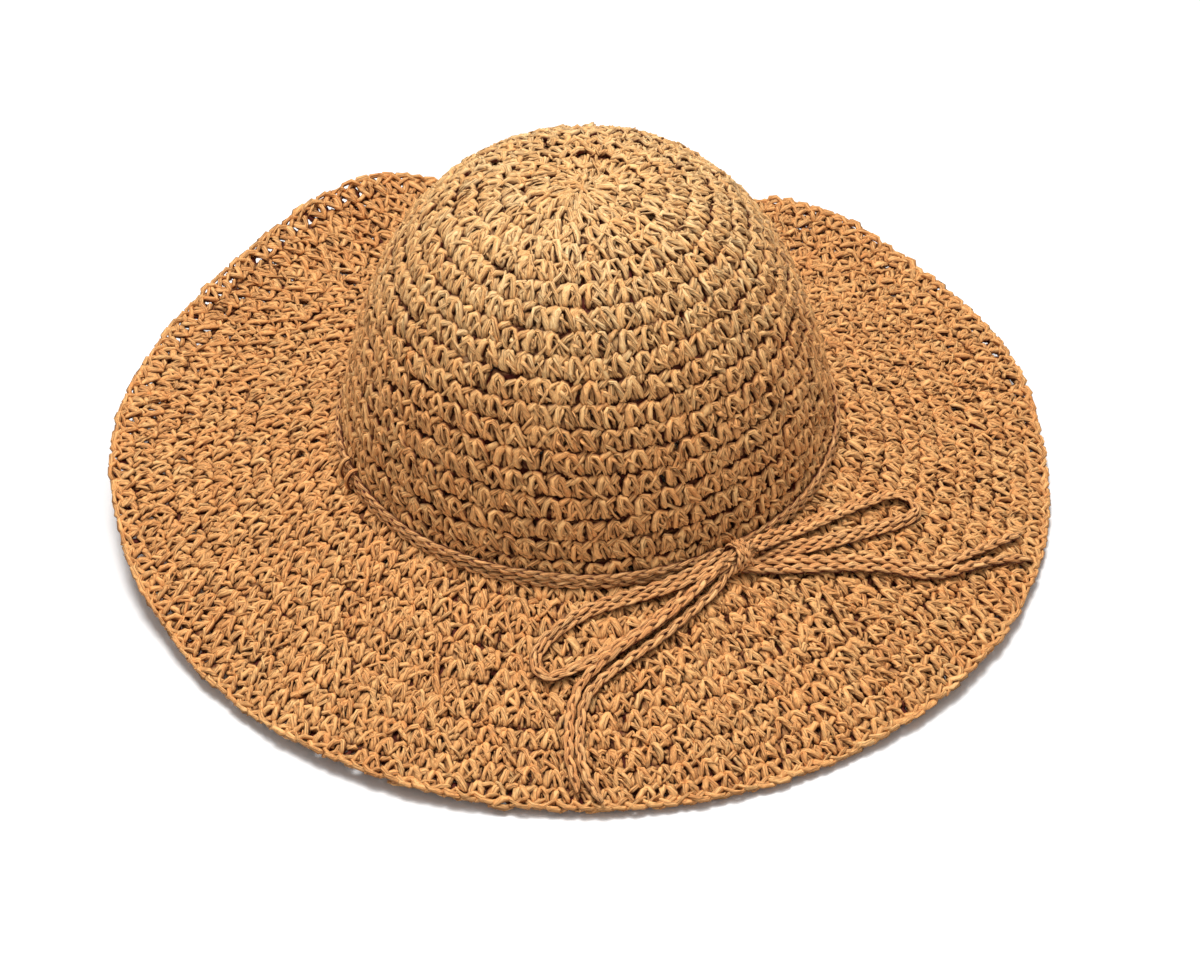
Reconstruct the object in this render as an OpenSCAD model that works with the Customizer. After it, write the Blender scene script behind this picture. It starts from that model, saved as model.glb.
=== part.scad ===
// A wide-brimmed crocheted paper-straw sun hat, tied round the crown with a doubled cord and a bow.
// Millimetres, +Z towards the crown's tip; the bow lies on the brim between -Y and +X.
// The origin is the centre of the head opening, level with the line where crown and brim meet.

/* [Head] */
// Inside radius of the sweatband, which sets the head size
head_r = 88.9; // [80:0.1:89.4]
// Height of the sweatband above the brim line
sweatband_h = 24; // [12:1:24]

/* [Crown] */
// Outside radius of the crown at the brim line
crown_r = 97.5; // [97.3:0.1:99]
// Height of the crown's tip above the brim line
crown_h = 115; // [105:1:130]
// Squareness of the crown's shoulder, larger is squarer
shoulder = 3.5; // [3.2:0.1:4]
// Fullness of the crown's flank, larger is fuller
flank = 1.4; // [1.4:0.05:1.8]
// Rounds of crochet between the start ring and the brim line
crown_rounds = 18; // [12:1:22]
// Radius of the closed start ring at the tip
start_ring_r = 5; // [4:0.5:7]

/* [Brim] */
// Width of the brim along the fabric
brim_w = 93.5; // [85:0.5:110]
// How far the brim's top falls from the crown to an edge that rests on the table
brim_fall = 32; // [24:1:36]
// Rounds of crochet in the brim, the edging included
brim_rounds = 12; // [8:1:14]
// Straight facets round the brim
brim_facets = 72; // [48:12:84]

/* [Fabric] */
// Thickness of the crocheted fabric
fabric_t = 4; // [3.6:0.1:4.2]

/* [Tie cord] */
// Diameter of one crocheted strand of the tie
cord_d = 3.3; // [2.8:0.1:3.4]
// Direction of the bow round the crown, in degrees from +X
bow_turn = 302.8; // [302.6:0.1:303]
// Direction of the stitch that holds the tie down
keeper_turn = 201; // [180:1:240]

/* [Hidden] */
ROUND_NAMES = [for (k = [1 : crown_rounds]) str("crown_round_", k < 10 ? "0" : "", k)];
BRIM_NAMES = [for (k = [1 : brim_rounds - 1]) str("brim_round_", k < 10 ? "0" : "", k)];
TIE_NAMES = [
    "tie_strand_lower", "tie_strand_upper", "tie_keeper_stitch", "bow_knot",
    "bow_loop_left", "bow_loop_right",
    "bow_tail_front_inner", "bow_tail_front_outer",
    "bow_tail_right_inner", "bow_tail_right_outer"
];

straw = [0.78, 0.58, 0.36];
straw_dark = [0.66, 0.47, 0.28];
ribbon = [0.72, 0.56, 0.38];
thread = [0.86, 0.74, 0.56];
$fn = 96;

// Height of the brim's edge above the table, every 20 degrees from +X towards +Y
edge_lifts = [0, 8, 10, 15, 0, 8, 31, 23, 20, 22, 10, 3, 4, 1, 0, 0, 3, 1];

// ---- the crown's outline, from its tip down to the brim line ----
outline_steps = 90;
function dome_r(t) = crown_r * pow(sin(t), 2 / shoulder);
function dome_z(t) = crown_h * pow(cos(t), 2 / flank);
dome = [
    for (i = [0 : outline_steps])
    let (t = 90 * pow(i / outline_steps, 1.7))
    [dome_r(t), i == outline_steps ? 0 : dome_z(t)]
];
function step_length(i) = i < outline_steps ? norm(dome[i + 1] - dome[i]) : 0;
dome_s = [for (i = 0, s = 0; i <= outline_steps; s = s + step_length(i), i = i + 1) s];
dome_length = dome_s[outline_steps];
dome_r_at = [for (i = [0 : outline_steps]) [dome_s[i], dome[i][0]]];
dome_z_at = [for (i = [0 : outline_steps]) [dome_s[i], dome[i][1]]];
function outer_point(s) = [lookup(s, dome_r_at), lookup(s, dome_z_at)];
function unit(v) = v / norm(v);
function outward(s) =
    s < 1 ? [0, 1] :
    s > dome_length - 1 ? [1, 0] :
    let (d = unit(outer_point(s + 1) - outer_point(s - 1))) [-d[1], d[0]];
function inner_point(s) = outer_point(s) - fabric_t * outward(s);
round_h = (dome_length - start_ring_r) / crown_rounds;
function round_start(k) = start_ring_r + (k - 1) * round_h;
// Radius of the crown's outside at a height above the brim line
function crown_r_at(z) = dome_r(acos(pow(z / crown_h, flank / 2)));

// ---- the brim's surface: u runs from 0 at the crown to 1 at the edge ----
function lift_knot(i) = edge_lifts[(i + len(edge_lifts)) % len(edge_lifts)];
function edge_lift(turn) =
    let (
        step = 360 / len(edge_lifts),
        i = floor(turn / step) % len(edge_lifts),
        f = turn / step - floor(turn / step),
        a = lift_knot(i - 1),
        b = lift_knot(i),
        c = lift_knot(i + 1),
        d = lift_knot(i + 2)
    )
    max(0, b + f / 2 * (c - a + f * (2 * a - 5 * b + 4 * c - d + f * (3 * (b - c) + d - a))));
function edge_reach(turn) = sqrt(brim_w * brim_w - pow(brim_fall - edge_lift(turn), 2));
function brim_top(turn, u) = edge_lift(turn) * pow(u, 3) - brim_fall * u;
function brim_radius(turn, u) = crown_r + edge_reach(turn) * u;
function on_turn(turn, r, z) = [r * cos(turn), r * sin(turn), z];

// Closed ring from one cross-section for each facet; each section's points run the same way round
module section_ring(sections) {
    n = len(sections);
    m = len(sections[0]);
    polyhedron(
        points = [for (s = sections) each s],
        faces = [
            for (i = [0 : n - 1], j = [0 : m - 1])
            let (
                a = i * m + j,
                b = i * m + (j + 1) % m,
                c = (i + 1) % n * m + (j + 1) % m,
                d = (i + 1) % n * m + j
            )
            each [[a, c, b], [a, d, c]]
        ]
    );
}

module brim_band(k) {
    u0 = (k - 1) / brim_rounds;
    u1 = k / brim_rounds;
    section_ring([
        for (i = [0 : brim_facets - 1])
        let (
            turn = i * 360 / brim_facets,
            r0 = brim_radius(turn, u0),
            r1 = brim_radius(turn, u1),
            z0 = brim_top(turn, u0),
            z1 = brim_top(turn, u1),
            landing = k == 1 ? [on_turn(turn, crown_r - fabric_t, 0)] : [],
            under = k == 1 ? [on_turn(turn, crown_r - fabric_t, -fabric_t)] : []
        )
        concat(
            landing,
            [on_turn(turn, r0, z0), on_turn(turn, r1, z1)],
            [on_turn(turn, r1, z1 - fabric_t), on_turn(turn, r0, z0 - fabric_t)],
            under
        )
    ]);
}

// Height of the brim's top under a point seen from above
function brim_top_at(x, y) =
    let (
        turn = (atan2(y, x) + 360) % 360,
        u = (norm([x, y]) - crown_r) / edge_reach(turn)
    )
    brim_top(turn, min(max(u, 0), 1));

// ---- the tie: where its strands run ----
tie_lower_z = 1.3;
tie_upper_z = tie_lower_z + cord_d;
tie_gap = 0.05;
knot_reach = 3.5;
knot_at = [56, -87, 3.5];
knot_l = 14;
knot_r = 4.6;
strand_sides = 8;
loop_w = 2 * cord_d;

// Each route starts in the knot; a point is [x, y, height of the strand's middle above the brim]
loop_left_route = [
    [51, -90.5, 8.5], [38, -97.5, 5.8], [25, -102, 3.4], [11, -106, 2.5], [-1.5, -110.5, 2.4],
    [-11, -116.5, 2.4], [-17.5, -122.5, 2.4], [-21, -129.5, 2.4], [-17, -135.5, 2.4], [-8, -133.5, 2.4],
    [10, -124.5, 2.4], [21, -117, 2.4], [31, -108.5, 2.4], [41, -98, 2.5], [47.5, -92, 3.2]
];
loop_right_route = [
    [63, -84, 9], [72, -75.5, 6], [83, -66.5, 3.4], [95, -57, 2.5], [108, -47.5, 2.4],
    [118, -40.5, 2.4], [125.5, -40.5, 2.4], [128, -46.5, 2.4], [121, -53.5, 2.4], [109, -61, 2.4],
    [97, -68, 2.4], [85, -74, 2.5], [74, -78.5, 3.2], [65, -82, 4.4]
];
tail_front_inner_route = [
    [54.5, -89, 4.5], [48.5, -98.5, 2.3], [42, -105.5, 2.1], [35, -112.5, 2.1], [25, -121.5, 2.1],
    [14, -129.5, 2.1], [5, -136.5, 2.1], [-1.5, -144, 2.1], [-4, -153, 2.1], [-4.5, -163, 2.1],
    [-3, -173, 2.1], [0.5, -180, 2.1], [3.5, -185, 2.2]
];
tail_front_outer_route = [
    [53, -90, 5.5], [46, -96.5, 5.6], [39.5, -103.5, 5.6], [32.5, -110.5, 5.6], [22.5, -119, 5.6],
    [11.5, -127, 5.2], [3, -132.5, 3.2], [-4, -139.5, 2.1], [-7.5, -148.5, 2.1], [-8.5, -158, 2.1],
    [-8.5, -168, 2.1], [-6.5, -176, 2.1], [-5.5, -181, 2.1]
];
tail_right_inner_route = [
    [59.5, -87.5, 4], [69, -84.3, 2.3], [78, -82, 2.1], [88, -80, 2.1], [98, -77.5, 2.1],
    [108, -75.3, 2.1], [118, -74, 2.1], [127, -74, 2.1], [135, -71.5, 2.1], [144, -65, 2.1],
    [153, -58, 2.1], [162, -50.5, 2.1], [170, -44, 2.1]
];
tail_right_outer_route = [
    [58, -90, 3.5], [69, -88, 2.2], [78, -86, 2.1], [88, -83.8, 2.1], [98, -81.3, 2.1],
    [108, -79.2, 2.1], [118, -78, 2.1], [127, -78, 2.1], [136, -75.5, 2.1], [146, -69.5, 2.1],
    [156, -63.5, 2.1], [166, -59, 2.1], [173, -57, 2.1]
];
function laid(route) = [for (p = route) [p[0], p[1], brim_top_at(p[0], p[1]) + p[2]]];

// Tube swept along a route, lying flat: w wide along the surface and h high
module swept_tube(route, w, h) {
    n = len(route);
    sides = strand_sides;
    rings = [
        for (i = [0 : n - 1])
        let (
            ahead = unit(route[min(i + 1, n - 1)] - route[max(i - 1, 0)]),
            side = unit(cross(ahead, [0, 0, 1])),
            up = cross(side, ahead)
        )
        [
            for (j = [0 : sides - 1])
            let (a = (j + 0.5) * 360 / sides)
            route[i] + w / 2 * cos(a) * side + h / 2 * sin(a) * up
        ]
    ];
    polyhedron(
        points = [for (r = rings) each r],
        faces = concat(
            [[for (j = [0 : sides - 1]) j]],
            [
                for (i = [0 : n - 2], j = [0 : sides - 1])
                let (
                    a = i * sides + j,
                    b = i * sides + (j + 1) % sides
                )
                each [[a, a + sides, b + sides], [a, b + sides, b]]
            ],
            [[for (j = [sides - 1 : -1 : 0]) (n - 1) * sides + j]]
        )
    );
}

// ---- the crown: one closed ring of fabric for each round ----
module dome_ring(s0, s1) {
    steps = 3;
    stations = [for (i = [0 : steps]) s0 + (s1 - s0) * i / steps];
    outside = [for (s = stations) outer_point(s)];
    inside = [for (i = [steps : -1 : 0]) inner_point(stations[i])];
    rotate_extrude() polygon(concat(outside, inside));
}

module crown_start_ring() {
    color(straw) dome_ring(0, start_ring_r);
}

module crown_round(k) {
    color(k % 2 == 0 ? straw : straw_dark) dome_ring(round_start(k), round_start(k + 1));
}

// ---- the brim ----
module brim_round(k) {
    color(k % 2 == 0 ? straw_dark : straw) brim_band(k);
}

module brim_edging() {
    color(straw_dark) brim_band(brim_rounds);
}

// ---- the sweatband inside the crown ----
ribbon_t = 1;
hem_below = 2;
hem_above = 2.5;
hem_grip = 0.1;
stitch_count = 60;
stitch_l = 5;
stitch_t = 0.8;

module ring_wall(r0, r1, z0, z1) {
    rotate_extrude() translate([r0, z0]) square([r1 - r0, z1 - z0]);
}

module sweatband() {
    color(ribbon) ring_wall(head_r, head_r + ribbon_t, -hem_below, sweatband_h);
}

module sweatband_hem() {
    outer = crown_r - fabric_t + hem_grip;
    color(ribbon) ring_wall(head_r + ribbon_t, outer, -hem_below, hem_above);
}

module sweatband_stitches() {
    mid = (head_r + ribbon_t + crown_r - fabric_t) / 2;
    color(thread)
    for (i = [0 : stitch_count - 1])
    rotate(i * 360 / stitch_count)
    translate([mid, -stitch_l / 2, -hem_below - stitch_t / 2])
    cube([stitch_t, stitch_l, stitch_t]);
}

// ---- the tie round the crown, its keeper and its bow ----
module tie_strand(z) {
    lead = knot_reach;
    rotate(bow_turn + lead)
    rotate_extrude(angle = 360 - 2 * lead)
    translate([crown_r_at(z) + cord_d / 2 + tie_gap, z])
    circle(d = cord_d, $fn = 32);
}

module tie_strand_lower() {
    color(straw) tie_strand(tie_lower_z);
}

module tie_strand_upper() {
    color(straw) tie_strand(tie_upper_z);
}

module tie_keeper_stitch() {
    arch_r = 4.9;
    arch_d = 2.4;
    color(straw)
    for (offset = [-2, 2])
    rotate(keeper_turn + offset)
    translate([crown_r + cord_d / 2, 0, (tie_lower_z + tie_upper_z) / 2])
    rotate([90, 0, 0])
    rotate(-75)
    rotate_extrude(angle = 200)
    translate([arch_r, 0])
    circle(d = arch_d, $fn = 24);
}

module bow_knot() {
    color(straw)
    translate(knot_at)
    rotate([0, 0, bow_turn + 90])
    rotate([0, 90, 0])
    rotate_extrude()
    polygon([
        [0, -knot_l / 2], [knot_r * 0.6, -knot_l / 2], [knot_r * 0.9, -knot_l * 0.3], [knot_r, 0],
        [knot_r * 0.9, knot_l * 0.3], [knot_r * 0.6, knot_l / 2], [0, knot_l / 2]
    ]);
}

module bow_loop_left() {
    color(straw) swept_tube(laid(loop_left_route), loop_w, cord_d);
}

module bow_loop_right() {
    color(straw) swept_tube(laid(loop_right_route), loop_w, cord_d);
}

module bow_tail_front_inner() {
    color(straw) swept_tube(laid(tail_front_inner_route), cord_d, cord_d);
}

module bow_tail_front_outer() {
    color(straw) swept_tube(laid(tail_front_outer_route), cord_d, cord_d);
}

module bow_tail_right_inner() {
    color(straw) swept_tube(laid(tail_right_inner_route), cord_d, cord_d);
}

module bow_tail_right_outer() {
    color(straw) swept_tube(laid(tail_right_outer_route), cord_d, cord_d);
}

crown_start_ring();
for (k = [1 : crown_rounds]) crown_round(k);
for (k = [1 : brim_rounds - 1]) brim_round(k);
brim_edging();
sweatband();
sweatband_hem();
sweatband_stitches();
tie_strand_lower();
tie_strand_upper();
tie_keeper_stitch();
bow_knot();
bow_loop_left();
bow_loop_right();
bow_tail_front_inner();
bow_tail_front_outer();
bow_tail_right_inner();
bow_tail_right_outer();
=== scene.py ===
"""A crocheted paper-straw sun hat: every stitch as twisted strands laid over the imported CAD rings."""
import math

import bpy
import numpy as np
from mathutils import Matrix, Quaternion, Vector


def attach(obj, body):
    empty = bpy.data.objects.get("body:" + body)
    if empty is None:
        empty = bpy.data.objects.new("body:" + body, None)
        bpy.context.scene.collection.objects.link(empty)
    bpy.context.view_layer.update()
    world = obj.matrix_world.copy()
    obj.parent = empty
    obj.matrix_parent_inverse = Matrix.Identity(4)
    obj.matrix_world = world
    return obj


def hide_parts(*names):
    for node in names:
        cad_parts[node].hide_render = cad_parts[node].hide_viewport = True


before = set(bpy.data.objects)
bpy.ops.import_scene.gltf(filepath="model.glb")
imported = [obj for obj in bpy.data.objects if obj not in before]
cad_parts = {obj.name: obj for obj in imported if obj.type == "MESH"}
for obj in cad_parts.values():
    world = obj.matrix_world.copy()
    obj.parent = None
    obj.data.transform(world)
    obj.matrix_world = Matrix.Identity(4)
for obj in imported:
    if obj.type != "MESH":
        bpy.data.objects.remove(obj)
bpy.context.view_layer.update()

MM = 0.001
rng = np.random.default_rng(41)


# ---- camera ----
def add_camera():
    target = Vector((0.0045, 0.0, -0.0353))
    up = math.radians(41)
    data = bpy.data.cameras.new("camera")
    data.sensor_width = 36
    data.lens = 118.6
    cam = bpy.data.objects.new("camera", data)
    bpy.context.collection.objects.link(cam)
    cam.location = target + 1.6 * Vector((0, -math.cos(up), math.sin(up)))
    cam.rotation_mode = "QUATERNION"
    look = (target - cam.location).to_track_quat("-Z", "Y")
    cam.rotation_quaternion = look @ Quaternion((0, 0, 1), -0.0158)
    bpy.context.scene.camera = cam


add_camera()

# ---- the hat's surfaces, in millimetres, as in the CAD source ----
CROWN_R, CROWN_H, SHOULDER, FLANK = 97.5, 115.0, 3.5, 1.4
CROWN_ROUNDS, START_R = 18, 5.0
BRIM_W, BRIM_FALL, BRIM_ROUNDS = 93.5, 32.0, 12
TABLE_Z = -36.0
HEAD_R, BAND_H = 88.9, 24.0
CORD_D = 3.3
BOW_TURN, KEEPER_TURN = 302.8, 201.0
EDGE_LIFTS = np.array([0, 8, 10, 15, 0, 8, 31, 23, 20, 22, 10, 3, 4, 1, 0, 0, 3, 1], float)

_t = np.radians(90 * np.linspace(0, 1, 721) ** 1.7)
DOME_R = CROWN_R * np.sin(_t) ** (2 / SHOULDER)
DOME_Z = CROWN_H * np.clip(np.cos(_t), 0, 1) ** (2 / FLANK)
DOME_S = np.concatenate([[0], np.cumsum(np.hypot(np.diff(DOME_R), np.diff(DOME_Z)))])
DOME_LEN = DOME_S[-1]
ROUND_H = (DOME_LEN - START_R) / CROWN_ROUNDS


def on_crown(s, turn, h):
    """Points h above the crown's outside and the normals there; s runs down from the tip."""
    below = np.maximum(s - DOME_LEN, 0)
    s = np.clip(s, 0, DOME_LEN)
    r, z = np.interp(s, DOME_S, DOME_R), np.interp(s, DOME_S, DOME_Z) - below
    s0, s1 = np.clip(s - 0.8, 0, None), np.clip(s + 0.8, 1.6, DOME_LEN)
    dr = np.interp(s1, DOME_S, DOME_R) - np.interp(s0, DOME_S, DOME_R)
    dz = np.interp(s1, DOME_S, DOME_Z) - np.interp(s0, DOME_S, DOME_Z)
    size = np.hypot(dr, dz)
    nr, nz = -dz / size, dr / size
    c, q = np.cos(turn), np.sin(turn)
    point = np.stack([(r + h * nr) * c, (r + h * nr) * q, z + h * nz], -1)
    return point, np.stack([nr * c, nr * q, nz], -1)


def edge_lift(turn):
    """How far the brim's edge is above the table; turn in radians."""
    f = (np.degrees(turn) % 360) / 20
    i = np.floor(f).astype(int)
    f = f - i
    a, b, c, d = (EDGE_LIFTS[(i + k) % 18] for k in (-1, 0, 1, 2))
    bend = 2 * a - 5 * b + 4 * c - d + f * (3 * (b - c) + d - a)
    return np.maximum(0, b + f / 2 * (c - a + f * bend))


def edge_reach(turn):
    return np.sqrt(BRIM_W**2 - (BRIM_FALL - edge_lift(turn)) ** 2)


def on_brim(s, turn, h):
    """Points h above the brim's top and the normals there; s runs out from the crown."""
    u = s / BRIM_W
    step = 0.01
    lift, reach = edge_lift(turn), edge_reach(turn)
    lift_by = (edge_lift(turn + step) - edge_lift(turn - step)) / (2 * step)
    reach_by = (edge_reach(turn + step) - edge_reach(turn - step)) / (2 * step)
    r, z = CROWN_R + reach * u, lift * u**3 - BRIM_FALL * u
    c, q = np.cos(turn), np.sin(turn)
    out = np.stack([reach * c, reach * q, 3 * lift * u**2 - BRIM_FALL], -1)
    rise = reach_by * u
    around = np.stack([rise * c - r * q, rise * q + r * c, lift_by * u**3], -1)
    normal = np.cross(out, around)
    normal /= np.linalg.norm(normal, axis=-1, keepdims=True)
    point = np.stack([r * c, r * q, z + 0 * u], -1)
    return point + h[..., None] * normal, normal


def radius_at(surface, s):
    if surface is on_crown:
        return np.interp(s, DOME_S, DOME_R)
    return CROWN_R + 0.975 * s


def brim_top_at(x, y):
    turn = np.arctan2(y, x)
    u = np.clip((np.hypot(x, y) - CROWN_R) / edge_reach(turn), 0, 1)
    return edge_lift(turn) * u**3 - BRIM_FALL * u


def crown_r_at(z):
    return CROWN_R * np.sin(np.arccos((z / CROWN_H) ** (FLANK / 2))) ** (2 / SHOULDER)


# ---- strands ----
def smooth(points, count, even=False):
    """A Catmull-Rom curve through the points, read at count places."""
    p = np.asarray(points, float)
    n = len(p)
    dense = np.linspace(0, n - 1, 40 * n)
    i = np.clip(dense.astype(int), 0, n - 2)
    f = (dense - i)[:, None]
    a, b, c, d = p[np.maximum(i - 1, 0)], p[i], p[i + 1], p[np.minimum(i + 2, n - 1)]
    curve = b + f / 2 * (c - a + f * (2 * a - 5 * b + 4 * c - d + f * (3 * (b - c) + d - a)))
    run = np.concatenate([[0], np.cumsum(np.linalg.norm(np.diff(curve, axis=0), axis=1))])
    t = np.linspace(0, 1, count)
    if not even:
        t = 0.45 * t + 0.55 * (1 - np.cos(np.pi * t)) / 2
    at = t * run[-1]
    return np.stack([np.interp(at, run, curve[:, k]) for k in range(p.shape[1])], -1)


def unit(v):
    return v / np.maximum(np.linalg.norm(v, axis=-1, keepdims=True), 1e-9)


def sweep(centre, normal, wide, thick, sides, flute=0.28, twist=2.3, height=None, tone=0.0, extra_shade=0.0):
    """Fluted tubes along the rows of centre, an array of strands, rings and coordinates, each vertex carrying its
    painted shade.
    """
    m, k = centre.shape[:2]
    ahead = unit(np.gradient(centre, axis=1))
    side = unit(np.cross(ahead, normal))
    up = np.cross(side, ahead)
    run = np.concatenate([np.zeros((m, 1)), np.cumsum(np.linalg.norm(np.diff(centre, axis=1), axis=2), 1)], 1)
    column = np.arange(sides)
    groove = (column % 2) * rng.uniform(0.2, 1.8, (m, sides)) * flute
    crinkle = rng.normal(0, 0.09, (m, k, sides))
    size = 1 - groove[:, None, :] + crinkle
    start = rng.uniform(0, 2 * np.pi, (m, 1, 1))
    turn = rng.normal(twist, 0.35 * abs(twist) + 0.05, (m, 1, 1))
    angle = column * 2 * np.pi / sides + start + turn * (run / np.maximum(run[:, -1:], 1e-9) - 0.5)[..., None]
    pinch = 1 + 0.09 * np.sin(rng.uniform(0, 2 * np.pi, (m, 1)) + run * rng.uniform(1.3, 2.6, (m, 1)))
    wide, thick = ((np.broadcast_to(x, (m, k)) * pinch)[..., None] for x in (wide, thick))
    x = wide / 2 * np.cos(angle) * size
    y = thick / 2 * np.sin(angle) * size
    v = centre[:, :, None, :] + x[..., None] * side[:, :, None, :] + y[..., None] * up[:, :, None, :]
    # Painted shade: a strand darkens where it lies about 2 mm below the fabric's face, where its neighbours shade
    # it, and on its sides and underside; a per-strand amount adds more painted shade or takes some off.
    if height is None:
        painted_shade = np.zeros((m, k, sides))
    else:
        painted_shade = np.clip(1 - np.abs(height[..., None] + y + 2.15) / 1.75, 0, 1)
    flank_shade = np.clip((0.80 - np.sin(angle)) / 0.62, 0, 1) * np.clip((np.sin(angle) + 1.1) / 0.5, 0, 1)
    outer = np.ones((m, k)) if height is None else np.clip((height + 2.6) / 0.6, 0, 1)
    painted_shade = np.clip(np.maximum(painted_shade, flank_shade * outer[..., None]) + extra_shade, 0, 1)
    own = rng.uniform(0, 1, (m, 1, 1))
    mine = column * 2 * np.pi / sides
    full = (m, k, sides)
    yarn = np.stack([
        np.broadcast_to(np.cos(mine), full), np.broadcast_to(np.sin(mine), full),
        np.broadcast_to(run[..., None], full), np.broadcast_to(own, full)], -1)
    # Painted shade in the creases: the grooved columns are marked here, and the material darkens them.
    crease_shade = np.broadcast_to(np.clip(groove / 0.3, 0, 1)[:, None, :], full)
    hue = np.clip(rng.normal(0.5 + tone, 0.2, (m, 1, 1)), 0, 1)
    # look carries the painted shade, the crease shade mask, the strand's own tone and 1.
    look = np.stack([painted_shade, crease_shade, np.broadcast_to(hue, full), np.ones(full)], -1)
    return {"v": v, "yarn": yarn, "look": look}


def build(name, tubes, material, replaces):
    """One mesh from a list of sweeps, closed at their ends, with a map that gives each strand its own tile."""
    verts, yarn, look, loops, starts, uvs = [], [], [], [], [], []
    base, corner = 0, 0
    total = sum(t["v"].shape[0] for t in tubes)
    across = math.ceil(math.sqrt(total))
    tile = 0
    for t in tubes:
        m, k, s = t["v"].shape[:3]
        verts.append(t["v"].reshape(-1, 3))
        yarn.append(t["yarn"].reshape(-1, 4))
        look.append(t["look"].reshape(-1, 4))
        grid = base + np.arange(m * k * s).reshape(m, k, s)
        nxt = np.roll(grid, -1, 2)
        quads = np.stack([grid[:, :-1], nxt[:, :-1], nxt[:, 1:], grid[:, 1:]], -1).reshape(-1, 4)
        loops.append(quads.ravel())
        starts.append(corner + 4 * np.arange(len(quads)))
        corner += 4 * len(quads)
        place = tile + np.arange(m)
        u0 = (place % across)[:, None, None, None] + 0.04
        v0 = (place // across)[:, None, None, None] + 0.04
        a, b = np.meshgrid(np.arange(k - 1), np.arange(s), indexing="ij")
        cu = np.stack([b, b + 1, b + 1, b], -1)[None] / s * 0.92
        cv = np.stack([a, a, a + 1, a + 1], -1)[None] / (k - 1) * 0.92
        uvs.append(np.stack([u0 + cu, v0 + cv], -1).reshape(-1, 2) / across)
        for end, order in ((0, -1), (k - 1, 1)):
            cap = grid[:, end, ::order]
            loops.append(cap.ravel())
            starts.append(corner + s * np.arange(m))
            corner += cap.size
            edge = 0.04 if end == 0 else 0.96
            spin = np.arange(s)[::order] * 2 * np.pi / s
            cap_u = (place % across)[:, None] + 0.5 + 0.02 * np.cos(spin)
            cap_v = (place // across)[:, None] + edge + 0.02 * np.sin(spin)
            uvs.append(np.stack([cap_u, cap_v], -1).reshape(-1, 2) / across)
        base += m * k * s
        tile += m
    verts, loops, starts = np.concatenate(verts), np.concatenate(loops), np.concatenate(starts)
    me = bpy.data.meshes.new(name)
    me.vertices.add(len(verts))
    me.vertices.foreach_set("co", (verts * MM).astype(np.float32).ravel())
    me.loops.add(len(loops))
    me.loops.foreach_set("vertex_index", loops.astype(np.int32))
    me.polygons.add(len(starts))
    me.polygons.foreach_set("loop_start", starts.astype(np.int32))
    me.update(calc_edges=True)
    me.shade_smooth()
    for label, data in (("yarn", yarn), ("look", look)):
        layer = me.attributes.new(label, "FLOAT_COLOR", "POINT")
        layer.data.foreach_set("color", np.concatenate(data).astype(np.float32).ravel())
    layer = me.uv_layers.new(name="OFBake", do_init=False)
    layer.uv.foreach_set("vector", np.concatenate(uvs).astype(np.float32).ravel())
    return finish_piece(name, me, material, replaces)


def finish_piece(name, me, material, replaces):
    ob = bpy.data.objects.new(name, me)
    bpy.context.collection.objects.link(ob)
    me.materials.append(material)
    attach(ob, "root")
    if replaces:
        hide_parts(*replaces)
    return ob


# ---- materials ----
def colour(r, g, b):
    """A colour given as it looks on a screen, from 0 to 255."""
    return tuple((c / 255 / 12.92 if c / 255 <= 0.04045 else ((c / 255 + 0.055) / 1.055) ** 2.4) for c in (r, g, b)) + (1,)


class Graph:
    def __init__(self, name):
        self.mat = bpy.data.materials.new(name)
        self.mat.use_nodes = True
        self.nodes, self.links = self.mat.node_tree.nodes, self.mat.node_tree.links
        self.shader = self.nodes["Principled BSDF"]

    def node(self, kind, **settings):
        n = self.nodes.new(kind)
        for key, value in settings.items():
            setattr(n, key, value)
        return n

    def link(self, a, b):
        self.links.new(a, b)

    def put(self, value, socket):
        if isinstance(value, bpy.types.NodeSocket):
            self.link(value, socket)
        else:
            socket.default_value = value

    def math(self, operation, a, b=0.0, clamp=False):
        n = self.node("ShaderNodeMath", operation=operation, use_clamp=clamp)
        self.put(a, n.inputs[0])
        self.put(b, n.inputs[1])
        return n.outputs[0]

    def mix(self, factor, a, b, blend="MIX"):
        n = self.node("ShaderNodeMix", data_type="RGBA", blend_type=blend)
        self.put(factor, n.inputs["Factor"])
        self.put(a, n.inputs[6])
        self.put(b, n.inputs[7])
        return n.outputs[2]

    def ramp(self, value, stops):
        n = self.node("ShaderNodeValToRGB")
        self.link(value, n.inputs[0])
        e = n.color_ramp.elements
        while len(e) < len(stops):
            e.new(0.5)
        for spot, (at, shade) in zip(e, stops):
            spot.position, spot.color = at, shade
        return n.outputs[0]

    def noise(self, vector, scale, detail=3.0, rough=0.6, w=None):
        n = self.node("ShaderNodeTexNoise", noise_dimensions="4D" if w is not None else "3D")
        self.link(vector, n.inputs["Vector"])
        n.inputs["Scale"].default_value = scale
        n.inputs["Detail"].default_value = detail
        n.inputs["Roughness"].default_value = rough
        if w is not None:
            self.put(w, n.inputs["W"])
        return n.outputs["Fac"]


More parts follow.
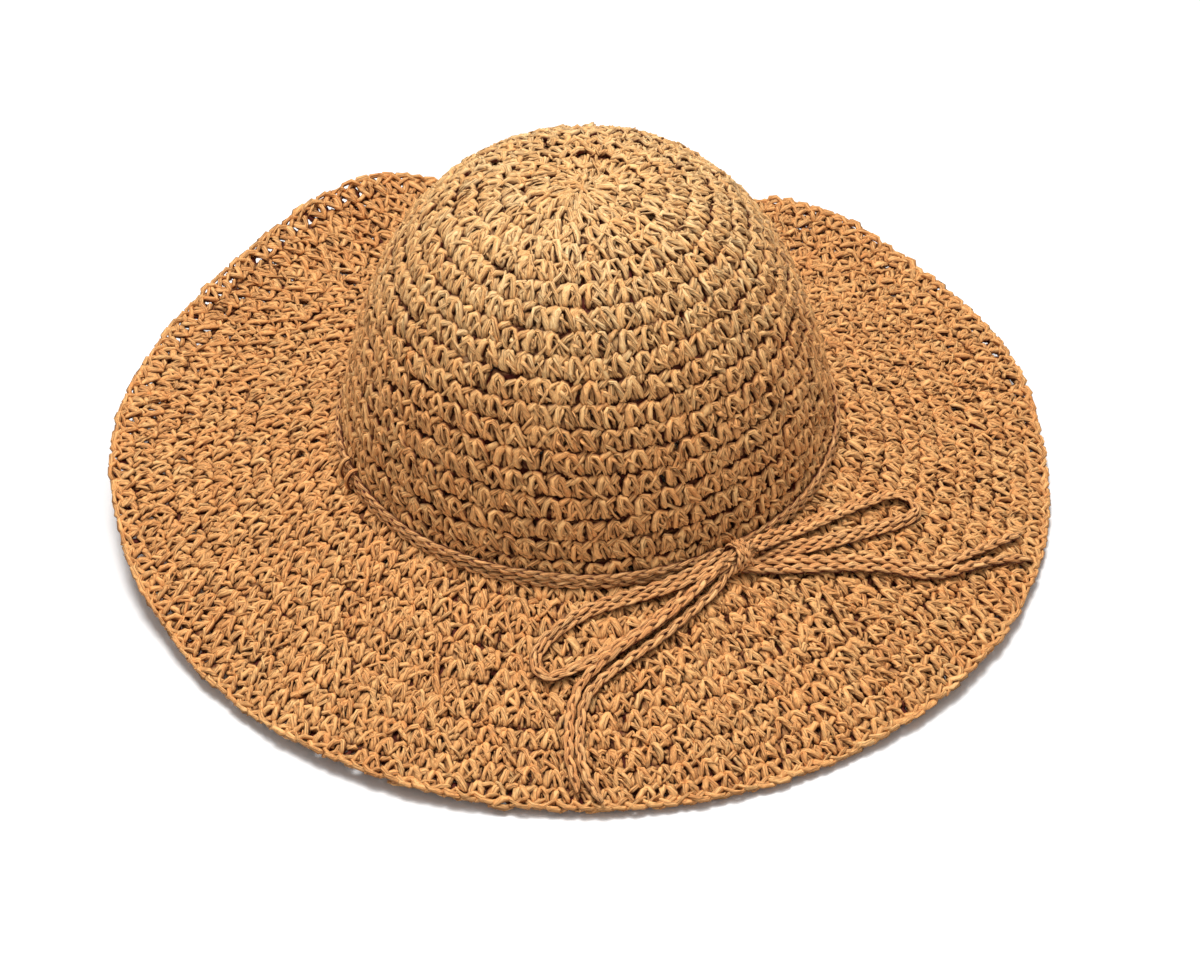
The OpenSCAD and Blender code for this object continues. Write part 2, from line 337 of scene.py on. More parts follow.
def straw_material(name, tones, shade_and_fleck, painted_highlight):
    """Twisted paper: lengthwise creases and streaks, one tone a strand, dull flecks, painted red-brown shade where
    strands meet and in the creases, painted pale highlights and a paler top painted as light from above.
    """
    g = Graph(name)
    yarn = g.node("ShaderNodeAttribute", attribute_name="yarn")
    look = g.node("ShaderNodeAttribute", attribute_name="look")
    y, l = g.node("ShaderNodeSeparateColor"), g.node("ShaderNodeSeparateColor")
    g.link(yarn.outputs["Color"], y.inputs[0])
    g.link(look.outputs["Color"], l.inputs[0])
    cos, sin, run = y.outputs
    painted_shade, crease_shade, hue = l.outputs
    own = g.math("MULTIPLY", yarn.outputs["Alpha"], 60)
    along = g.node("ShaderNodeCombineXYZ")
    g.link(cos, along.inputs[0])
    g.link(sin, along.inputs[1])
    g.link(g.math("MULTIPLY", run, 0.16), along.inputs[2])
    streak = g.noise(along.outputs[0], 1.7, 3, 0.6, own)
    fine = g.noise(along.outputs[0], 7.0, 2, 0.5, own)
    place = g.node("ShaderNodeTexCoord").outputs["Object"]
    patch = g.noise(place, 55, 2, 0.5)
    speck = g.noise(place, 900, 2, 0.6)
    value = g.math("ADD", g.math("MULTIPLY", g.math("SUBTRACT", streak, 0.5), 0.6), g.math("MULTIPLY", hue, 0.22))
    value = g.math("ADD", value, g.math("MULTIPLY", g.math("SUBTRACT", patch, 0.5), 0.2))
    # Painted light: the value climbs with height between 5 and 11 cm up, so the crown's top is painted paler, as if
    # lit more from above.
    parts, high = g.node("ShaderNodeSeparateXYZ"), g.node("ShaderNodeMapRange", interpolation_type="SMOOTHSTEP")
    g.link(place, parts.inputs[0])
    g.link(parts.outputs[2], high.inputs["Value"])
    high.inputs["From Min"].default_value = 0.05
    high.inputs["From Max"].default_value = 0.11
    high.inputs["To Min"].default_value = 0.43
    high.inputs["To Max"].default_value = 0.62
    value = g.math("ADD", value, high.outputs[0])
    base = g.ramp(value, [(0.30, tones[0]), (0.50, tones[1]), (0.68, tones[2]), (0.88, tones[3])])
    # Painted highlight: where the fine noise is high, pale spots are mixed in.
    base = g.mix(g.ramp(fine, [(0.58, (0, 0, 0, 1)), (0.74, (0.3, 0.3, 0.3, 1))]), base, painted_highlight)
    dull = g.ramp(speck, [(0.30, (1, 1, 1, 1)), (0.42, (0, 0, 0, 1))])
    base = g.mix(g.math("MULTIPLY", dull, 0.18), base, shade_and_fleck)
    # Painted shade: thin fold lines, the grooved crease columns, and the depth and flank shade all mix toward the
    # dark red-brown.
    fold = g.math("ABSOLUTE", g.math("SUBTRACT", streak, 0.46))
    fold = g.ramp(fold, [(0.0, (1, 1, 1, 1)), (0.05, (0, 0, 0, 1))])
    lines = g.math("MULTIPLY", g.math("POWER", crease_shade, 4.0), 0.85)
    lines = g.math("MAXIMUM", lines, g.math("MULTIPLY", fold, 0.4))
    shade = g.math("MULTIPLY", g.math("POWER", painted_shade, 1.1), 1.0)
    base = g.mix(g.math("MAXIMUM", lines, shade, True), base, shade_and_fleck)
    g.link(base, g.shader.inputs["Base Color"])
    rough = g.math("ADD", 0.5, g.math("MULTIPLY", streak, 0.3))
    g.link(rough, g.shader.inputs["Roughness"])
    g.shader.inputs["Specular IOR Level"].default_value = 0.28
    bump = g.node("ShaderNodeBump")
    bump.inputs["Strength"].default_value = 0.6
    bump.inputs["Distance"].default_value = 0.0005
    height = g.math("ADD", streak, g.math("MULTIPLY", fine, 0.4))
    g.link(g.math("SUBTRACT", height, g.math("MULTIPLY", fold, 0.4)), bump.inputs["Height"])
    g.link(bump.outputs[0], g.shader.inputs["Normal"])
    return g.mat


# Each straw material: four straw tones, then the dark red-brown used for painted shade and dull flecks, then the
# pale painted highlight.
STRAW = straw_material(
    "paper_straw",
    [colour(240, 158, 88), colour(253, 182, 110), colour(255, 198, 128), colour(255, 216, 156)],
    colour(84, 18, 0), colour(255, 230, 182))
TIE = straw_material(
    "paper_straw_tie",
    [colour(238, 158, 92), colour(250, 180, 112), colour(255, 196, 130), colour(255, 214, 156)],
    colour(84, 20, 0), colour(255, 228, 180))


def ribbon_material():
    """Grosgrain: fine ribs across the ribbon, a fine weft along it and a little wear from the head."""
    g = Graph("grosgrain_ribbon")
    place = g.node("ShaderNodeTexCoord").outputs["Object"]
    parts = g.node("ShaderNodeSeparateXYZ")
    g.link(place, parts.inputs[0])
    turn = g.math("ARCTAN2", parts.outputs[1], parts.outputs[0])
    rib = g.math("SINE", g.math("MULTIPLY", turn, 1398))
    weft = g.math("SINE", g.math("MULTIPLY", parts.outputs[2], 7800))
    weave = g.math("ADD", g.math("MULTIPLY", rib, 0.5), g.math("MULTIPLY", weft, 0.3))
    patch = g.noise(place, 38, 4, 0.6)
    fibre = g.noise(place, 1400, 2, 0.5)
    value = g.math("ADD", g.math("MULTIPLY", weave, 0.18), g.math("MULTIPLY", patch, 0.7))
    value = g.math("ADD", value, g.math("MULTIPLY", fibre, 0.3))
    base = g.ramp(value, [(0.28, colour(146, 108, 70)), (0.5, colour(176, 136, 92)), (0.72, colour(196, 158, 112))])
    g.link(base, g.shader.inputs["Base Color"])
    g.link(g.math("ADD", 0.6, g.math("MULTIPLY", fibre, 0.3)), g.shader.inputs["Roughness"])
    g.shader.inputs["Sheen Weight"].default_value = 0.2
    bump = g.node("ShaderNodeBump")
    bump.inputs["Strength"].default_value = 0.5
    bump.inputs["Distance"].default_value = 0.0002
    g.link(weave, bump.inputs["Height"])
    g.link(bump.outputs[0], g.shader.inputs["Normal"])
    return g.mat


RIBBON = ribbon_material()
# The last two colours: the painted shade (and flecks), then the painted highlight.
THREAD = straw_material(
    "sewing_thread",
    [colour(190, 158, 112), colour(208, 178, 132), colour(224, 196, 152), colour(236, 214, 176)],
    colour(120, 78, 40), colour(246, 230, 200))

# ---- the tie's routes, in millimetres: x, y and height of the strand's middle above the brim ----
LOOP_LEFT = [
    [51, -90.5, 8.5], [38, -97.5, 5.8], [25, -102, 3.4], [11, -106, 2.5], [-1.5, -110.5, 2.4],
    [-11, -116.5, 2.4], [-17.5, -122.5, 2.4], [-21, -129.5, 2.4], [-17, -135.5, 2.4], [-8, -133.5, 2.4],
    [10, -124.5, 2.4], [21, -117, 2.4], [31, -108.5, 2.4], [41, -98, 2.5], [47.5, -92, 3.2]]
LOOP_RIGHT = [
    [63, -84, 9], [72, -75.5, 6], [83, -66.5, 3.4], [95, -57, 2.5], [108, -47.5, 2.4],
    [118, -40.5, 2.4], [125.5, -40.5, 2.4], [128, -46.5, 2.4], [121, -53.5, 2.4], [109, -61, 2.4],
    [97, -68, 2.4], [85, -74, 2.5], [74, -78.5, 3.2], [65, -82, 4.4]]
TAIL_FRONT_INNER = [
    [54.5, -89, 4.5], [48.5, -98.5, 2.3], [42, -105.5, 2.1], [35, -112.5, 2.1], [25, -121.5, 2.1],
    [14, -129.5, 2.1], [5, -136.5, 2.1], [-1.5, -144, 2.1], [-4, -153, 2.1], [-4.5, -163, 2.1],
    [-3, -173, 2.1], [0.5, -180, 2.1], [3.5, -185, 2.2]]
TAIL_FRONT_OUTER = [
    [53, -90, 5.5], [46, -96.5, 5.6], [39.5, -103.5, 5.6], [32.5, -110.5, 5.6], [22.5, -119, 5.6],
    [11.5, -127, 5.2], [3, -132.5, 3.2], [-4, -139.5, 2.1], [-7.5, -148.5, 2.1], [-8.5, -158, 2.1],
    [-8.5, -168, 2.1], [-6.5, -176, 2.1], [-5.5, -181, 2.1]]
TAIL_RIGHT_INNER = [
    [59.5, -87.5, 4], [69, -84.3, 2.3], [78, -82, 2.1], [88, -80, 2.1], [98, -77.5, 2.1],
    [108, -75.3, 2.1], [118, -74, 2.1], [127, -74, 2.1], [135, -71.5, 2.1], [144, -65, 2.1],
    [153, -58, 2.1], [162, -50.5, 2.1], [170, -44, 2.1]]
TAIL_RIGHT_OUTER = [
    [58, -90, 3.5], [69, -88, 2.2], [78, -86, 2.1], [88, -83.8, 2.1], [98, -81.3, 2.1],
    [108, -79.2, 2.1], [118, -78, 2.1], [127, -78, 2.1], [136, -75.5, 2.1], [146, -69.5, 2.1],
    [156, -63.5, 2.1], [166, -59, 2.1], [173, -57, 2.1]]
KNOT_AT = np.array([56.0, -87.0, 3.5])


def laid(route, step=0.9):
    """The route as a smooth line in space, with the direction away from the brim at each point."""
    p = np.array(route, float)
    top = brim_top_at(p[:, 0], p[:, 1])
    line = np.stack([p[:, 0], p[:, 1], top + p[:, 2]], -1)
    length = np.linalg.norm(np.diff(line, axis=0), axis=1).sum()
    line = smooth(line, int(length / step), even=True)
    turn, r = np.arctan2(line[:, 1], line[:, 0]), np.hypot(line[:, 0], line[:, 1])
    s = np.clip((r - CROWN_R) / edge_reach(turn), 0, 1) * BRIM_W
    return line, on_brim(s, turn, np.zeros(len(s)))[1]


def plait(line, up, wide=3.7, pitch=20.0, yarns=3, ends=(0.0, 0.0), shift=0.0, start=0.0, rise=0.0):
    """A crocheted chain seen as a plait: yarns that cross over and under each other along the line."""
    ahead = unit(np.gradient(line, axis=0))
    side = unit(np.cross(ahead, up))
    up = np.cross(side, ahead)
    run = np.concatenate([[0], np.cumsum(np.linalg.norm(np.diff(line, axis=0), axis=1))])
    yarn_w = wide * 0.54
    swing, lift = (wide - yarn_w) / 2 * 1.06, wide * 0.16
    full = np.ones(len(run))
    for k, reach in enumerate(ends):
        if reach:
            far = run if k == 0 else run[-1] - run
            full = np.minimum(full, np.clip(0.25 + 0.75 * far / reach, 0, 1))
    tubes = []
    for j in range(yarns):
        p = 2 * np.pi * (run / pitch + j / yarns) + start
        wave = 1 + 0.12 * np.sin(run * 0.9 + j * 2 + start)
        off = (shift + swing * full * np.sin(p))[:, None] * side
        off += (rise + lift * full * np.sin(2 * p) * wave)[:, None] * up
        w = yarn_w * (0.84 + 0.26 * np.clip(np.sin(2 * p), 0, 1)) * (0.35 + 0.65 * full)
        tilt = unit(up + 0.5 * np.cos(p)[:, None] * side)
        # The height paints each yarn darker where it dips under the others.
        tubes.append(sweep((line + off)[None], tilt[None], w[None], (w * 0.8)[None], 12, 0.3, 0.1 * run[-1],
                           height=(-0.95 + 0.95 * np.sin(2 * p))[None]))
    return tubes


def tip_fibres(end, ahead, count, reach):
    """The few paper fibres that stand out of a cut end."""
    tubes = []
    for _ in range(count):
        way = unit(ahead + rng.normal(0, 0.45, 3))
        bend = rng.normal(0, 0.5, 3)
        t = np.linspace(0, 1, 6)[:, None]
        line = end + way * reach * rng.uniform(0.5, 1.2) * t + bend * t**2
        w = np.linspace(0.32, 0.1, 6)[None]
        tubes.append(sweep(line[None], np.tile([0.1, 0.2, 1.0], (1, 6, 1)), w, w, 5, 0.0, 0.0))
    return tubes


def free_tail(name, route):
    line, up = laid(route)
    tubes = plait(line, up, wide=4.4, pitch=22, ends=(0, 4.0), start=rng.uniform(0, 6), rise=0.6)
    tubes += tip_fibres(line[-1], unit(line[-1] - line[-4]), 4, 2.4)
    ob = build("plait_" + name, tubes, TIE, [name])


def loop(name, route):
    line, up = laid(route)
    t = np.linspace(0, 1, len(line))
    apart = 1.68 * (0.42 + 0.58 * np.abs(np.cos(np.pi * t)) ** 1.5)
    stacked = 0.9 * np.sin(np.pi * t) ** 2
    tubes = plait(line, up, shift=apart, start=0.4, rise=stacked)
    tubes += plait(line, up, shift=-apart, start=2.6, rise=-0.6 * stacked)
    ob = build("plait_" + name, tubes, TIE, [name])


free_tail("bow_tail_front_inner", TAIL_FRONT_INNER)
free_tail("bow_tail_front_outer", TAIL_FRONT_OUTER)
free_tail("bow_tail_right_inner", TAIL_RIGHT_INNER)
free_tail("bow_tail_right_outer", TAIL_RIGHT_OUTER)
loop("bow_loop_left", LOOP_LEFT)
loop("bow_loop_right", LOOP_RIGHT)


# ---- the band round the crown, its keeper and the knot ----
def band(name, z, start):
    turn = np.radians(BOW_TURN + np.linspace(2.0, 358.0, 640))
    r = crown_r_at(z) + CORD_D / 2 + 0.05
    wave = 0.25 * np.sin(7 * turn + start) + 0.15 * np.sin(17 * turn)
    line = np.stack([r * np.cos(turn), r * np.sin(turn), z + wave], -1)
    out = np.stack([np.cos(turn), np.sin(turn), 0.35 + 0 * turn], -1)
    build("plait_" + name, plait(line, unit(out), start=start), TIE, [name])


band("tie_strand_lower", 1.3, 0.0)
band("tie_strand_upper", 4.6, 2.2)


def keeper():
    tubes = []
    for off, high in ((-2.0, 1.0), (2.0, 0.9)):
        a = np.radians(KEEPER_TURN + off)
        arch = smooth([[97.0, 8.6], [99.8, 9.2], [102.2, 6.4], [102.6, 3.0], [101.2, -0.8], [98.6, -1.8]], 12)
        line = np.stack([arch[:, 0] * math.cos(a), arch[:, 0] * math.sin(a), arch[:, 1] * high], -1)
        out = np.broadcast_to([math.cos(a), math.sin(a), 0.3], line.shape)
        w = 2.5 * (0.55 + 0.45 * np.sin(np.pi * np.linspace(0, 1, 12)))
        tubes.append(sweep(line[None], out[None], w[None], w[None] * 0.8, 12))
    build("straw_tie_keeper_stitch", tubes, STRAW, ["tie_keeper_stitch"])


keeper()


def knot():
    """A bundle of strands along the band, crossed by the doubled cord that ties it."""
    a = math.radians(BOW_TURN + 90)
    axis = np.array([math.cos(a), math.sin(a), 0.0])
    outward = np.array([-axis[1], axis[0], 0.0]) * -1
    rise = np.array([0, 0, 1.0])
    tubes = []
    for up_by, out_by in ((2.0, -1.2), (-1.6, -1.4), (0.2, 1.8), (-2.2, 1.6), (2.4, 1.4)):
        t = np.linspace(-8.5, 8.5, 22)
        line = KNOT_AT + t[:, None] * axis + (up_by * (1 + t / 40))[:, None] * rise + out_by * outward
        tubes += plait(line, np.broadcast_to(outward + rise, line.shape), 3.1, 12, start=up_by)
    for wrap, (lean, shift) in enumerate(((2.6, -2.2), (2.6, 0.9), (-2.0, 2.9))):
        turn = np.radians(np.linspace(-150, 210, 44))
        rr = 4.9 + 0.25 * wrap
        line = (KNOT_AT + (shift + lean * np.sin(turn))[:, None] * axis
                + rr * 0.95 * np.cos(turn)[:, None] * outward + rr * np.sin(turn)[:, None] * rise)
        up = np.cos(turn)[:, None] * outward + np.sin(turn)[:, None] * rise
        tubes += plait(line, up, 3.1, 11, start=wrap * 1.7)
    build("plait_bow_knot", tubes, TIE, ["bow_knot"])


knot()

# ---- crochet stitches: places across the stitch, down the row, and millimetres above the fabric ----
# The extra amount on a strand adds painted shade on top of what its depth gives.
CROWN_FRONT = [
    {"path": [(-0.08, 0.06, -1.9), (-0.17, 0.05, -0.8), (-0.27, 0.22, -0.3), (-0.31, 0.46, -0.35),
              (-0.29, 0.70, -1.1), (-0.22, 0.9, -2.7)], "w": 3.4, "t": 3.2, "p": 0.42, "sides": 14, "rings": 9},
    {"path": [(-0.16, 0.07, -1.8), (-0.05, -0.03, -0.5), (0.09, 0.06, -0.05), (0.20, 0.28, -0.1),
              (0.29, 0.54, -0.6), (0.36, 0.78, -1.6), (0.38, 0.94, -2.9)],
     "w": 2.9, "t": 2.9, "p": 0.42, "sides": 12, "rings": 9},
    {"path": [(-0.14, 0.2, -2.0), (-0.05, 0.2, -1.2), (0.0, 0.38, -0.9), (0.03, 0.58, -1.0),
              (0.06, 0.78, -1.5), (0.1, 0.95, -2.6)],
     "w": 1.9, "t": 2.2, "p": 0.4, "sides": 10, "rings": 7, "extra_shade": 0.1},
    {"path": [(0.16, 0.3, -2.3), (0.27, 0.2, -0.9), (0.42, 0.08, -0.4), (0.58, -0.01, -0.8), (0.68, 0.02, -2.2)],
     "w": 3.4, "t": 2.8, "p": 0.4, "sides": 12, "rings": 7},
    {"path": [(0.5, 0.14, -2.2), (0.53, 0.36, -1.25), (0.53, 0.62, -1.3), (0.5, 0.9, -2.6)],
     "w": 3.0, "t": 2.4, "p": 0.4, "sides": 10, "rings": 6, "extra_shade": 0.1}]
BRIM_FRONT = [
    {"path": [(-0.04, 0.0, -1.8), (-0.14, 0.12, -0.8), (-0.25, 0.36, -0.4), (-0.32, 0.62, -0.8),
              (-0.35, 0.9, -2.2)], "w": 3.4, "t": 2.9, "p": 0.5, "sides": 12, "rings": 8},
    {"path": [(-0.13, -0.04, -1.8), (0.0, 0.01, -0.5), (0.13, 0.24, -0.1), (0.24, 0.52, -0.5), (0.35, 0.88, -2.0)],
     "w": 3.0, "t": 2.7, "p": 0.5, "sides": 12, "rings": 8},
    {"path": [(-0.1, 0.2, -2.0), (-0.03, 0.3, -1.1), (0.03, 0.5, -0.8), (0.07, 0.74, -1.1), (0.1, 0.98, -2.3)],
     "w": 1.9, "t": 2.0, "p": 0.5, "sides": 10, "rings": 6, "extra_shade": 0.1},
    {"path": [(0.16, 0.2, -2.2), (0.32, 0.09, -0.9), (0.5, -0.03, -0.6), (0.68, 0.02, -2.0)],
     "w": 3.1, "t": 2.4, "p": 0.45, "sides": 10, "rings": 6},
    {"path": [(0.48, 0.12, -2.2), (0.51, 0.4, -1.4), (0.52, 0.66, -1.5), (0.5, 0.92, -2.5)],
     "w": 2.8, "t": 2.2, "p": 0.45, "sides": 8, "rings": 5, "extra_shade": 0.1}]
BACK = [
    {"path": [(0.0, 0.42, -2.4), (-0.05, 0.62, -1.9), (-0.06, 0.82, -2.1), (-0.05, 1.06, -2.9)],
     "w": 3.3, "t": 2.0, "p": 0.3, "sides": 8, "rings": 5, "extra_shade": 0.2},
    {"path": [(0.46, 0.1, -2.6), (0.5, 0.4, -2.5), (0.53, 0.7, -2.6), (0.55, 1.04, -2.9)],
     "w": 3.2, "t": 1.7, "p": 0.3, "sides": 8, "rings": 5, "extra_shade": 0.3},
    {"path": [(-0.62, 0.06, -2.6), (-0.3, -0.05, -2.7), (0.15, -0.02, -2.8), (0.6, 0.1, -2.6)],
     "w": 3.8, "t": 2.0, "p": 0.3, "sides": 8, "rings": 7, "extra_shade": 0.1},
    {"path": [(-0.42, 0.16, -2.9), (-0.26, 0.44, -3.35), (-0.12, 0.72, -3.3), (-0.04, 0.98, -2.8)],
     "w": 2.9, "t": 1.5, "p": 0.4, "sides": 8, "rings": 6},
    {"path": [(0.36, 0.14, -3.0), (0.26, 0.42, -3.45), (0.14, 0.72, -3.4), (0.08, 0.96, -2.9)],
     "w": 2.6, "t": 1.5, "p": 0.4, "sides": 8, "rings": 6}]
LOOSE = [
    {"path": [(-0.02, 0.1, -0.6), (0.1, 0.28, 0.4), (0.2, 0.5, 0.35), (0.3, 0.75, -0.6)],
     "w": 1.2, "t": 1.0, "p": 0.6, "sides": 6, "rings": 6, "stray": 0.18},
    {"path": [(-0.34, 0.3, -1.4), (-0.2, 0.42, 0.1), (0.02, 0.6, 0.15), (0.2, 0.8, -1.4)],
     "w": 2.1, "t": 1.9, "p": 0.5, "sides": 8, "rings": 6, "stray": 0.13},
    {"path": [(0.38, 0.16, -1.4), (0.3, 0.36, 0.0), (0.14, 0.6, 0.05), (-0.02, 0.84, -1.5)],
     "w": 2.0, "t": 1.8, "p": 0.5, "sides": 8, "rings": 6, "stray": 0.13}]


def stitches(surface, s0, row, count, strands, turn0, loose=1.3):
    """One round of stitches as sweeps, each stitch a little different from the next."""
    turns = turn0 + np.arange(count) * 2 * np.pi / count
    pitch = 2 * np.pi * radius_at(surface, s0 + row / 2) / count
    turns = turns + rng.normal(0, 0.045 * loose, count) * 2 * np.pi / count
    lean = rng.normal(0, 0.07 * loose, count)
    drop = rng.normal(0, 0.035 * loose, count)
    tubes = []
    for n, strand in enumerate(strands):
        path = smooth(strand["path"], strand["rings"])
        t = np.linspace(0, 1, len(path))
        a = path[None, :, 0] + lean[:, None] * (path[None, :, 1] - 0.4) + rng.normal(0, 0.03 * loose, (count, 1))
        a = a + rng.normal(0, 0.09 * loose, (count, 1)) * (t - 0.4)
        b = path[None, :, 1] + drop[:, None] + rng.normal(0, 0.025 * loose, (count, 1))
        h = path[None, :, 2] + rng.normal(0, 0.22 * loose, (count, 1)) + rng.normal(0, 0.08, (count, len(path)))
        a = a + 0.04 * loose * np.sin(rng.uniform(0, 6.3, (count, 1)) + 3 * t)
        stray = strand.get("stray", 0)
        if stray:
            a = a + rng.normal(0, 2 * stray, (count, 1)) + rng.normal(0, stray, (count, 1)) * (t - 0.5)
            b = b + rng.normal(0, stray, (count, 1))
        s = s0 + row * b
        turn = turns[:, None] + a * pitch / np.maximum(radius_at(surface, s), 3.0)
        centre, normal = surface(s, turn, h)
        fit = min(1.0, 0.55 + 0.45 * pitch / 8.5)
        size = np.clip(rng.normal(1, 0.12 * loose, (count, 1)), 0.72, 1.32)
        puff = 0.12 + 0.88 * np.sin(np.pi * (0.06 + 0.88 * t)) ** strand["p"]
        wide, thick = strand["w"] * fit * size * puff, strand["t"] * (2 - size) * puff
        tubes.append(sweep(centre, normal, wide, thick, strand["sides"], height=h, extra_shade=strand.get("extra_shade", 0)))
    return tubes


def crown_count(k):
    r = radius_at(on_crown, START_R + (k - 0.5) * ROUND_H)
    return max(12, int(round(2 * math.pi * r / 8.8)))


def start_ring():
    """The closed ring at the tip: short petals that lean into its middle."""
    tubes = stitches(on_crown, 0.8, 5.2, 9, [
        {"path": [(0.0, -0.1, -1.6), (0.02, 0.25, -0.5), (0.05, 0.62, -0.3), (0.1, 1.0, -1.4)],
         "w": 2.6, "t": 2.4, "p": 0.4, "sides": 14, "rings": 7}], 0.2, 0.8)
    ring = np.radians(np.linspace(0, 400, 26))
    line = np.stack([2.0 * np.cos(ring), 2.0 * np.sin(ring), CROWN_H - 2.4 - ring / 9], -1)
    # The ring lies 2 mm down, so it is painted in shade.
    tubes.append(sweep(line[None], np.tile([0, 0, 1.0], (1, 26, 1)), 2.0, 1.8, 10,
                       height=np.full((1, 26), -2.0)))
    build("straw_crown_start_ring", tubes, STRAW, ["crown_start_ring"])


start_ring()
for k in range(1, CROWN_ROUNDS + 1):
    node = f"crown_round_{k:02d}"
    s0 = START_R + (k - 1) * ROUND_H
    parts = stitches(on_crown, s0, ROUND_H, crown_count(k), CROWN_FRONT + BACK + LOOSE, rng.uniform(0, 6.28))
    build("straw_" + node, parts, STRAW, [node])

BRIM_ROW = BRIM_W / BRIM_ROUNDS
for k in range(1, BRIM_ROUNDS):
    node = f"brim_round_{k:02d}"
    s0 = (k - 1) * BRIM_ROW
    count = int(round(2 * math.pi * radius_at(on_brim, s0 + BRIM_ROW / 2) / 8.3))
    parts = stitches(on_brim, s0, BRIM_ROW, count, BRIM_FRONT + BACK + LOOSE, rng.uniform(0, 6.28))
    build("straw_" + node, parts, STRAW, [node])


def edging():
    """The last round, small upright stitches under a corded rim whose strands cross over the edge."""
    s0 = BRIM_W - BRIM_ROW
    tubes = stitches(on_brim, s0, BRIM_ROW * 0.78, 143, BRIM_FRONT[:4] + BACK[:3], 0.3)
    # Below zero, the extra amount paints the rim strands less shaded than their depth gives.
    rim = [
        {"path": [(-0.8, -0.5, -2.4), (-0.5, 0.0, -1.0), (-0.1, 0.42, -0.4), (0.35, 0.5, -0.9), (0.75, 0.1, -2.4)],
         "w": 2.9, "t": 2.6, "p": 0.6, "sides": 10, "rings": 7, "extra_shade": -0.25},
        {"path": [(-0.6, 0.5, -2.6), (-0.2, 0.3, -1.0), (0.25, -0.1, -0.3), (0.7, -0.45, -1.8)],
         "w": 2.6, "t": 2.3, "p": 0.6, "sides": 8, "rings": 6, "extra_shade": -0.25},
        {"path": [(-0.9, 0.36, -2.9), (-0.3, 0.2, -3.4), (0.3, -0.1, -3.5), (0.9, -0.4, -2.8)],
         "w": 2.4, "t": 1.8, "p": 0.5, "sides": 8, "rings": 5, "extra_shade": -0.4}]
    tubes += stitches(on_brim, BRIM_W - 2.1, 4.2, 186, rim, 0.1, 1.6)
    build("straw_brim_edging", tubes, STRAW, ["brim_edging"])


edging()


# ---- the sweatband, its hem and its sewing ----
def ring_strip(name, profile, columns, ribs, depth, material, node):
    """A closed ribbon ring: profile runs once round its section, and its ribs run across the ribbon."""
    p = np.array(profile, float)
    turn = np.linspace(0, 2 * np.pi, columns, endpoint=False)
    rib = depth * np.cos(turn * ribs)[:, None]
    pucker = 0.12 * np.sin(turn * 60)[:, None] * np.clip((4 - p[None, :, 1]) / 6, 0, 1)
    push = np.array([q[2] for q in profile])[None]
    r = p[None, :, 0] + (rib + pucker) * push
    v = np.stack([r * np.cos(turn)[:, None], r * np.sin(turn)[:, None], np.broadcast_to(p[None, :, 1], r.shape)], -1)
    n, m = r.shape
    grid = np.arange(n * m).reshape(n, m)
    right, over = np.roll(grid, -1, 0), np.roll(grid, -1, 1)
    both = np.roll(right, -1, 1)
    faces = np.stack([grid, over, both, right], -1).reshape(-1, 4)
    me = bpy.data.meshes.new(name)
    me.from_pydata((v.reshape(-1, 3) * MM).tolist(), [], faces.tolist())
    me.shade_smooth()
    return finish_piece(name, me, material, [node])


def section(r0, r1, z0, z1, rows, corner=0.3):
    """A rounded strip section, up the inside and down the outside; the third number pushes the ribs inwards or outwards."""
    inside = [(r0, z, -1.0) for z in np.linspace(z0 + corner, z1 - corner, rows)]
    outside = [(r1, z, 0.4) for z in np.linspace(z1 - corner, z0 + corner, rows)]
    top = [(r0 + corner * 0.4, z1 - corner * 0.2, -0.4), ((r0 + r1) / 2, z1, 0), (r1 - corner * 0.4, z1 - corner * 0.2, 0.2)]
    foot = [(r1 - corner * 0.4, z0 + corner * 0.2, 0.2), ((r0 + r1) / 2, z0, 0), (r0 + corner * 0.4, z0 + corner * 0.2, -0.4)]
    return inside + top + outside + foot


sweat = ring_strip("ribbon_sweatband", section(HEAD_R + 0.1, HEAD_R + 1, -2, BAND_H, 9), 1864, 466, 0.07,
                   RIBBON, "sweatband")
ring_strip("ribbon_sweatband_hem", section(HEAD_R + 1, CROWN_R - 3.9, -2, 2.5, 4, 0.8), 1864, 466, 0.06,
           RIBBON, "sweatband_hem")


def hem_stitches():
    turn = np.arange(60) * 2 * np.pi / 60
    t = np.linspace(-1, 1, 9)
    a = turn[:, None] + t * 2.5 / 91.9
    r = 91.9 + 0 * a
    z = -2.25 + 0.35 * t**4 + rng.normal(0, 0.04, (60, 1))
    line = np.stack([r * np.cos(a), r * np.sin(a), z], -1)
    down = np.broadcast_to([0, 0, -1.0], line.shape)
    tubes = [sweep(line, down, 0.8, 0.7, 10, 0.18, 5.0)]
    build("thread_sweatband_stitches", tubes, THREAD, ["sweatband_stitches"])


hem_stitches()


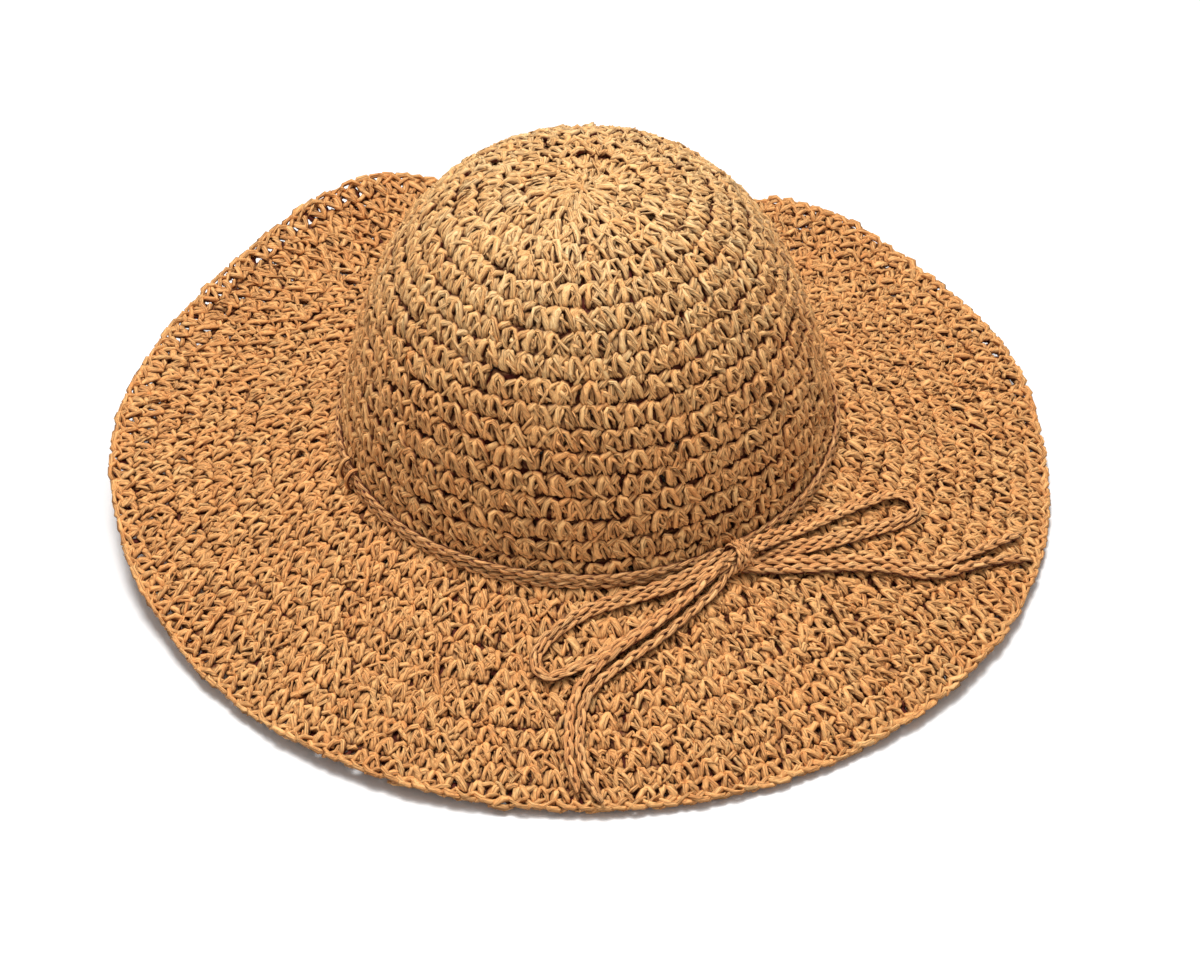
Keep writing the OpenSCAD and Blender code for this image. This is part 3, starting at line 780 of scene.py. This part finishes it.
# ---- floor and light ----
def add_stage():
    me = bpy.data.meshes.new("floor")
    z, w = TABLE_Z * MM - 0.0006, 6.0
    me.from_pydata([(-w, -w, z), (w, -w, z), (w, w, z), (-w, w, z)], [], [(0, 1, 2, 3)])
    floor = bpy.data.objects.new("floor", me)
    bpy.context.collection.objects.link(floor)
    g = Graph("floor_white")
    path = g.node("ShaderNodeLightPath")
    seen = g.math("MAXIMUM", path.outputs["Is Camera Ray"], path.outputs["Is Glossy Ray"])
    seen = g.math("MAXIMUM", seen, path.outputs["Is Transmission Ray"])
    g.link(g.mix(seen, colour(226, 224, 222), (0.99, 0.99, 0.99, 1)), g.shader.inputs["Base Color"])
    g.shader.inputs["Roughness"].default_value = 1.0
    g.shader.inputs["Specular IOR Level"].default_value = 0.0
    me.materials.append(g.mat)

    world = bpy.data.worlds.new("studio")
    bpy.context.scene.world = world
    world.use_nodes = True
    nodes, links = world.node_tree.nodes, world.node_tree.links
    back = nodes["Background"]
    back.inputs["Color"].default_value = (1, 1, 1, 1)
    path = nodes.new("ShaderNodeLightPath")
    top = nodes.new("ShaderNodeMath")
    top.operation = "MAXIMUM"
    links.new(path.outputs["Is Camera Ray"], top.inputs[0])
    links.new(path.outputs["Is Transmission Ray"], top.inputs[1])
    level = nodes.new("ShaderNodeMapRange")
    links.new(top.outputs[0], level.inputs["Value"])
    level.inputs["To Min"].default_value = 0.40
    level.inputs["To Max"].default_value = 1.0
    links.new(level.outputs[0], back.inputs["Strength"])

    sun = bpy.data.lights.new("key", "SUN")
    sun.energy = 1.9
    sun.angle = math.radians(20)
    ob = bpy.data.objects.new("key", sun)
    bpy.context.collection.objects.link(ob)
    ob.rotation_euler = Vector((-0.07, 0.2, 1.0)).to_track_quat("Z", "Y").to_euler()

    box = bpy.data.lights.new("softbox", "AREA")
    box.shape, box.size, box.energy = "DISK", 0.5, 2.4
    ob = bpy.data.objects.new("softbox", box)
    bpy.context.collection.objects.link(ob)
    ob.location = (0.0, -0.12, 0.70)
    ob.rotation_euler = (ob.location - Vector((0, 0, 0.05))).to_track_quat("Z", "Y").to_euler()
    ob.visible_camera = False


add_stage()
bpy.context.scene.view_settings.view_transform = "Standard"
